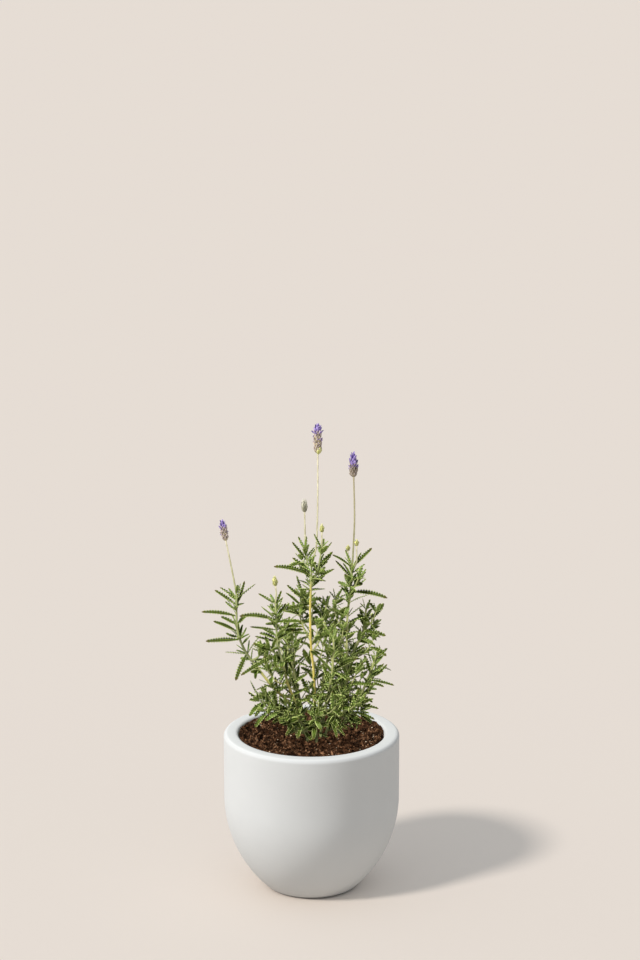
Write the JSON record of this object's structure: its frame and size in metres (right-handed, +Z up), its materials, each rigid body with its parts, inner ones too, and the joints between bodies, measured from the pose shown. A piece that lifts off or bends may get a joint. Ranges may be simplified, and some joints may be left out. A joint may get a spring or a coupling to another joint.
{
  "type": "potted lavender",
  "caption": "Young toothed lavender with purple-tufted flower spikes and toothed grey-green leaves, standing in soil in a round, thick-walled white pot.",
  "frame": {"origin": "middle of the pot's flat foot, on the surface that it stands on", "axes": "+Z up along the pot's axis, -Y towards the viewer of the picture, +X to the viewer's right"},
  "size_m": [0.1892, 0.17, 0.4613],
  "materials": {
    "pot": "matte white, fine-grained",
    "soil": "dark brown crumbly compost with bark",
    "foliage": "matte grey-green with a soft sheen",
    "spike_body": "matte, downy, grey-green to mauve",
    "purple_bracts": "matte, thin, purple",
    "bud": "matte yellow-green"
  },
  "bodies": {
    "root": {"pot": "pot", "soil": "soil", "stem_left": "foliage", "stem_left_inner": "foliage", "stem_centre": "foliage", "stem_right": "foliage", "stem_right_back": "foliage", "stem_far_right": "foliage", "shoot_low_left": "foliage", "shoot_low_front_left": "foliage", "shoot_low_front": "foliage", "shoot_low_front_right": "foliage", "shoot_low_right": "foliage", "shoot_middle_left": "foliage", "shoot_middle_front": "foliage", "shoot_back": "foliage", "shoot_back_left": "foliage", "shoot_back_right": "foliage", "spike_centre": "spike_body", "spike_right": "spike_body", "spike_left": "spike_body", "spike_green": "spike_body", "spike_centre_tuft": "purple_bracts", "spike_right_tuft": "purple_bracts", "spike_left_tuft": "purple_bracts", "bud_left": "bud", "bud_centre": "bud", "bud_right": "bud", "bud_right_low": "bud"}
  },
  "joints": []
}
